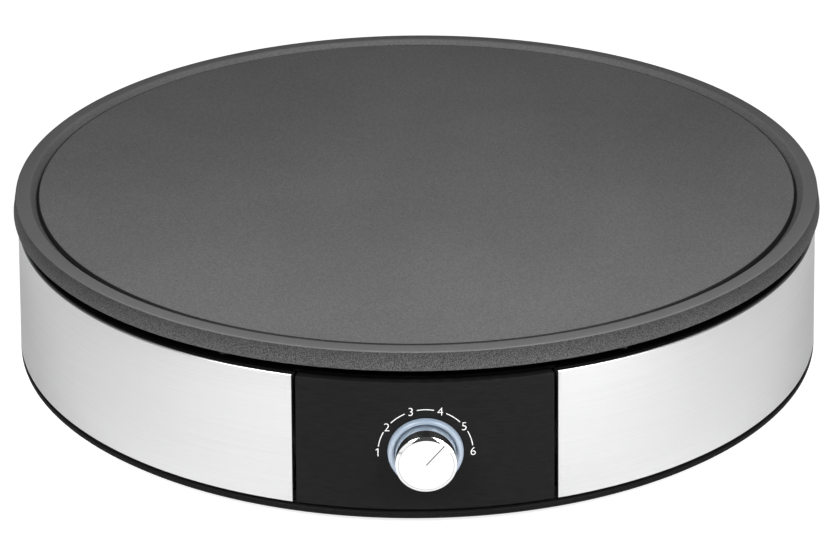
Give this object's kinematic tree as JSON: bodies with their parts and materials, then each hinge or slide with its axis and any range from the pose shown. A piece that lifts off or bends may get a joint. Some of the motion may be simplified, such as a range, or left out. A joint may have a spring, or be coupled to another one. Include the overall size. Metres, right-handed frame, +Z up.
{
  "type": "electric crepe maker",
  "caption": "Round electric crepe maker: rimmed non-stick hot plate on a low steel-banded drum, black control panel with a chrome knob in a light ring.",
  "frame": {"origin": "on the table plane, on the axis of the cooking plate", "axes": "+Z up out of the cooking surface, -Y towards the control panel and its knob, +X to the right of someone facing the panel"},
  "size_m": [0.401, 0.4187, 0.0862],
  "materials": {
    "plate_coating": "dark non-stick coating, fine grain",
    "steel": "satin, fine circumferential brushing",
    "panel_plastic": "black, satin, fine grain",
    "base_plastic": "black, satin, fine grain",
    "black_enamel": "gloss black heat-resistant enamel",
    "knob_chrome": "polished",
    "light_diffuser": "emissive pale blue diffuser",
    "rubber": "black",
    "zinc_steel": "bright zinc plate",
    "element_sheath": "heat-darkened steel sheath",
    "reflector_sheet": "bright sheet",
    "ceramic": "off-white glazed ceramic",
    "phenolic": "brown-black phenolic moulding",
    "copper": "drawn copper",
    "tinned_brass": "tinned",
    "board_green": "solder mask over glass fibre",
    "lamp_white": "moulded lens",
    "lead_brown": "silicone insulation",
    "lead_blue": "silicone insulation",
    "lead_green": "green-yellow insulation",
    "lead_red": "silicone insulation",
    "lead_white": "silicone insulation"
  },
  "bodies": {
    "housing": {"cooking_plate": "plate_coating", "steel_band": "steel", "front_panel": "panel_plastic", "base_tray": "base_plastic", "upper_housing": "black_enamel", "rim_screws": "zinc_steel", "feet": "rubber", "cord_gland": "rubber", "light_ring": "light_diffuser", "heating_element": "element_sheath", "element_terminals": "tinned_brass", "terminal_beads": "ceramic", "element_clamps": "zinc_steel", "clamp_screws": "zinc_steel", "sensing_bulb": "copper", "capillary_tube": "copper", "bulb_clips": "zinc_steel", "bulb_clip_screws": "zinc_steel", "thermal_cutout": "ceramic", "cutout_bracket": "zinc_steel", "cutout_screws": "zinc_steel", "reflector": "reflector_sheet", "lead_grommet": "ceramic", "plate_spacers": "zinc_steel", "plate_screws": "zinc_steel", "panel_screws": "zinc_steel", "lamp_board": "board_green", "lamps": "lamp_white", "board_screws": "zinc_steel", "thermostat_body": "phenolic", "thermostat_collar": "zinc_steel", "thermostat_bracket": "zinc_steel", "thermostat_screws": "zinc_steel", "bracket_screws": "zinc_steel", "cord_saddle": "base_plastic", "saddle_screws": "zinc_steel", "terminal_block": "ceramic", "pinch_screws": "tinned_brass", "block_screws": "zinc_steel", "earth_tag": "tinned_brass", "earth_screw": "zinc_steel", "earth_nut": "zinc_steel", "crimp_connectors": "tinned_brass", "live_lead": "lead_brown", "switched_lead": "lead_red", "heater_lead": "lead_white", "neutral_lead": "lead_blue", "earth_lead": "lead_green", "lamp_leads": "lead_white"},
    "knob": {"knob_cap": "knob_chrome", "knob_core": "base_plastic", "knob_spring": "zinc_steel", "spindle": "zinc_steel"}
  },
  "joints": [
    {"name": "knob_turn", "type": "hinge", "parent": "housing", "child": "knob", "pos_m": [0, -0.1985, 0.0366], "axis": [0, -1, 0], "range_deg": [-49.5, 130.5]}
  ]
}
